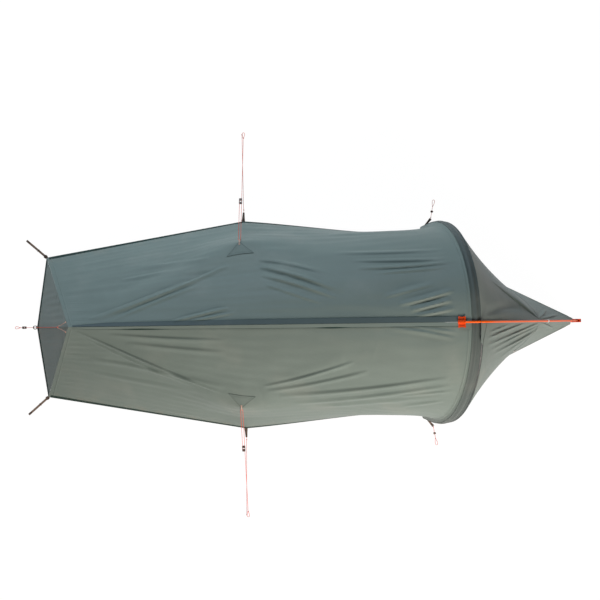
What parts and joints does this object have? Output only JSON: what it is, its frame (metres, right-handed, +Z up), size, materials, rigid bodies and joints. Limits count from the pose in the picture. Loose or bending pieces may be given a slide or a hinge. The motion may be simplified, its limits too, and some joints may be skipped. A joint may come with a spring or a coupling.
{
  "type": "one-person tent",
  "caption": "Pitched single-hoop one-person tent with a flysheet, outside strut pole, vestibule door, inner tent, guy lines and adjusters.",
  "frame": {"origin": "on the ground, on the groundsheet's flat underside, midway between the flysheet's rear hem and its front tip, on the tent's middle plane", "axes": "+X towards the front tip along the ridge, +Y to the tent's left side (the side without the vestibule door), +Z up from the ground"},
  "size_m": [3.1139, 2.1162, 0.9907],
  "materials": {
    "fly_cloth": "thin coated ripstop cloth, grey green, slight sheen",
    "ridge_cloth": "dark folded ridge band, stitched",
    "patch_cloth": "double-layer reinforcement cloth",
    "sleeve_cloth": "heavier sleeve cloth, matte",
    "pole_metal": "anodised tube",
    "strut_metal": "orange anodised tube, satin",
    "orange_webbing": "woven webbing, orange",
    "clip_plastic": "pale moulded plastic",
    "zip_tape": "woven zip tape with a coil chain",
    "zip_metal": "dark die-cast slider",
    "loop_webbing": "pale narrow webbing",
    "brown_webbing": "brown narrow webbing",
    "strap_webbing": "grey brown webbing",
    "black_plastic": "moulded acetal",
    "floor_cloth": "coated floor cloth",
    "inner_cloth": "thin breathable cloth",
    "inner_mesh": "fine insect mesh",
    "elastic": "braided elastic cord",
    "guy_cord": "braided cord, red with a pale fleck",
    "pale_cord": "braided cord, pale",
    "lock_plastic": "moulded plastic, brown"
  },
  "bodies": {
    "tent": {"fly_panel_left": "fly_cloth", "fly_panel_right": "fly_cloth", "fly_rear_panel": "fly_cloth", "ridge_band": "ridge_cloth", "side_patch_left": "patch_cloth", "side_patch_right": "patch_cloth", "hoop_sleeve": "sleeve_cloth", "hoop_pole_1": "pole_metal", "hoop_pole_2": "pole_metal", "hoop_pole_3": "pole_metal", "hoop_pole_4": "pole_metal", "hoop_pole_5": "pole_metal", "hoop_pole_6": "pole_metal", "strut_pole_1": "strut_metal", "strut_pole_2": "strut_metal", "strut_pole_3": "strut_metal", "foot_pole": "pole_metal", "hub_bracket": "orange_webbing", "front_pole_pocket": "orange_webbing", "strut_clip": "clip_plastic", "vestibule_panel": "fly_cloth", "door_zip": "zip_tape", "side_loop_left": "loop_webbing", "side_loop_right": "loop_webbing", "side_hem_tab_left": "brown_webbing", "side_hem_tab_right": "brown_webbing", "hoop_foot_tab_left": "brown_webbing", "hoop_foot_tab_right": "brown_webbing", "pole_cup_left": "black_plastic", "pole_cup_right": "black_plastic", "corner_buckle_left": "black_plastic", "corner_buckle_right": "black_plastic", "rear_ring": "brown_webbing", "groundsheet": "floor_cloth", "inner_wall_left": "inner_cloth", "inner_wall_right": "inner_cloth", "inner_foot_wall": "inner_cloth", "inner_head_wall": "inner_cloth", "inner_hanger_1": "elastic", "inner_hanger_2": "elastic", "inner_hanger_3": "elastic", "side_guy_left": "guy_cord", "side_guy_right": "guy_cord", "side_hem_guy_left": "guy_cord", "side_hem_guy_right": "guy_cord", "rear_guy": "guy_cord", "rear_bridle": "pale_cord", "foot_guy_left": "guy_cord", "foot_guy_right": "guy_cord"},
    "door": {"vestibule_door": "fly_cloth"},
    "slider": {"zip_slider": "zip_metal"},
    "pull": {"zip_pull": "orange_webbing"},
    "inner_door": {"inner_door": "inner_mesh"},
    "side_lock_left": {"side_lock_left": "lock_plastic"},
    "side_lock_right": {"side_lock_right": "lock_plastic"},
    "rear_lock": {"rear_lock": "lock_plastic"},
    "foot_lock_left": {"foot_lock_left": "lock_plastic"},
    "foot_lock_right": {"foot_lock_right": "lock_plastic"},
    "strap_left": {"corner_strap_left": "strap_webbing"},
    "strap_right": {"corner_strap_right": "strap_webbing"}
  },
  "joints": [
    {"name": "door_lift", "type": "hinge", "parent": "tent", "child": "door", "pos_m": [0.76383, 0, 0.97157], "axis": [-0.5849, 0, 0.8111], "range_deg": [0, 65]},
    {"name": "zip_run", "type": "slide", "parent": "tent", "child": "slider", "axis": [0.1008, 0, 0.9949], "range_m": [0, 0.19]},
    {"name": "pull_swing", "type": "hinge", "parent": "slider", "child": "pull", "pos_m": [0.6664, -0.5275, 0.07471], "axis": [-0.9949, 0, 0.1008], "range_deg": [0, 150]},
    {"name": "inner_door_swing", "type": "hinge", "parent": "tent", "child": "inner_door", "pos_m": [0.6065, 0, 0.1009], "axis": [0, 1, 0], "range_deg": [-85, 35]},
    {"name": "side_lock_run_left", "type": "slide", "parent": "tent", "child": "side_lock_left", "axis": [0, 0.8629, -0.5053], "range_m": [-0.2, 0.4]},
    {"name": "side_lock_run_right", "type": "slide", "parent": "tent", "child": "side_lock_right", "axis": [0, -0.8629, -0.5053], "range_m": [-0.2, 0.4]},
    {"name": "rear_lock_run", "type": "slide", "parent": "tent", "child": "rear_lock", "axis": [-0.9606, 0, -0.2779], "range_m": [-0.04, 0.008]},
    {"name": "foot_lock_run_left", "type": "slide", "parent": "tent", "child": "foot_lock_left", "axis": [0.1861, 0.9771, -0.1033], "range_m": [-0.025, 0.015]},
    {"name": "foot_lock_run_right", "type": "slide", "parent": "tent", "child": "foot_lock_right", "axis": [0.1861, -0.9771, -0.1033], "range_m": [-0.025, 0.015]},
    {"name": "strap_run_left", "type": "slide", "parent": "tent", "child": "strap_left", "axis": [-0.7547, 0.6561, 0], "range_m": [-0.03, 0.05]},
    {"name": "strap_run_right", "type": "slide", "parent": "tent", "child": "strap_right", "axis": [-0.7547, -0.6561, 0], "range_m": [-0.03, 0.05]}
  ]
}
